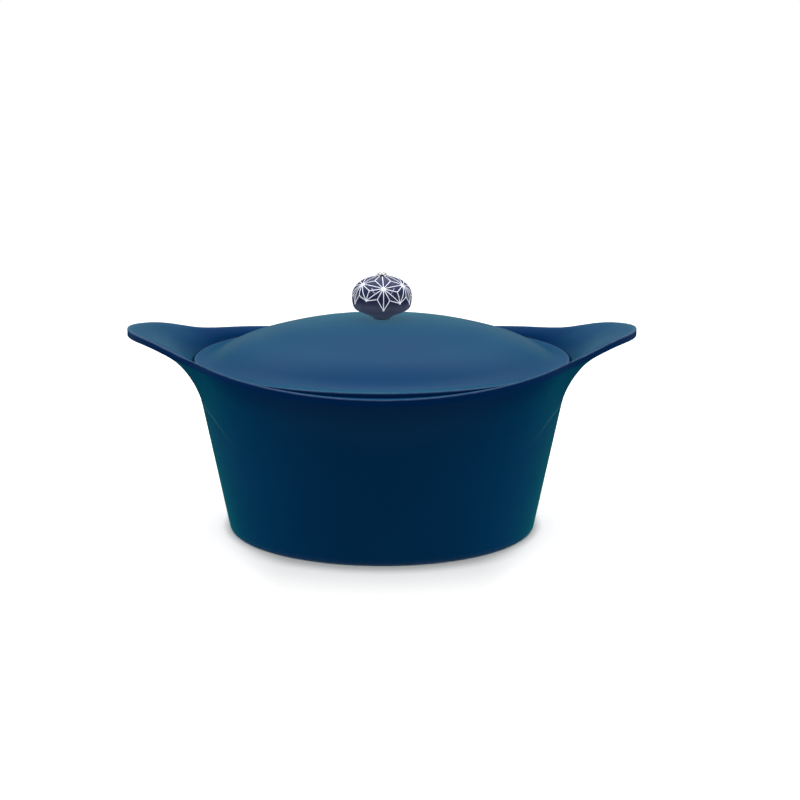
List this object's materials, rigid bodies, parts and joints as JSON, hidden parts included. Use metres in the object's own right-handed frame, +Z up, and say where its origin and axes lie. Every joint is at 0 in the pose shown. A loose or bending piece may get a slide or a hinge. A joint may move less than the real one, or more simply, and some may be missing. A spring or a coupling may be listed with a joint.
{
  "type": "casserole pot",
  "caption": "Round tapered casserole with swept integral ears, a lift-off domed lid in a seated rim and a patterned ceramic knob.",
  "frame": {"origin": "centre of the base, on the surface the pot stands on", "axes": "+Z up along the pot's axis, +X towards one ear, +Y towards the back"},
  "size_m": [0.326, 0.255, 0.1651],
  "materials": {
    "pot_paint": "satin",
    "lid_paint": "satin",
    "base_steel": "satin",
    "knob_glaze": "gloss",
    "bright_metal": "polished",
    "plain_steel": "satin",
    "soft_seal": "matte"
  },
  "bodies": {
    "pot": {"pot_body": "pot_paint", "base_disc": "base_steel"},
    "lid": {"lid_shell": "lid_paint", "knob_body": "knob_glaze", "knob_screw": "bright_metal", "knob_gasket": "soft_seal", "lid_gasket": "soft_seal", "lid_washer": "plain_steel", "cap_nut": "bright_metal"}
  },
  "joints": [
    {"name": "lid_lift", "type": "slide", "parent": "pot", "child": "lid", "axis": [0, 0, 1], "range_m": [0, 0.12]}
  ]
}
